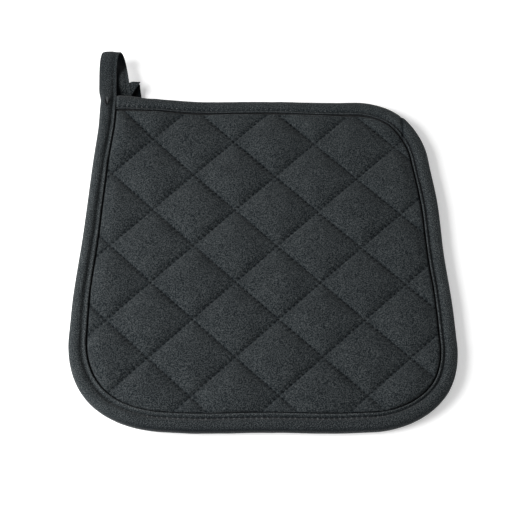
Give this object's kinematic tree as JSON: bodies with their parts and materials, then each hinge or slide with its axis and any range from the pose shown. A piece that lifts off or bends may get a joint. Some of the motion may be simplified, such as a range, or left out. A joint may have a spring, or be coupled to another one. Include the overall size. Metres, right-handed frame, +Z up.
{
  "type": "pot holder",
  "caption": "Square quilted cotton pot holder with diamond stitching, a bound edge, one square corner with a hanging loop and the other corners rounded.",
  "frame": {"origin": "centre of the bounding box on the surface that the pot holder lies on", "axes": "+Z up through the cloth, +Y from the wide lower edge to the end with the hanging loop, +X to the right with the loop at the upper left"},
  "size_m": [0.2002, 0.2344, 0.0138],
  "materials": {
    "quilted_cloth": "matte brushed cotton, dark grey",
    "binding_tape": "matte folded cotton bias tape, dark grey"
  },
  "bodies": {
    "root": {"quilted_panel": "quilted_cloth", "binding": "binding_tape", "hanging_loop": "binding_tape"}
  },
  "joints": []
}
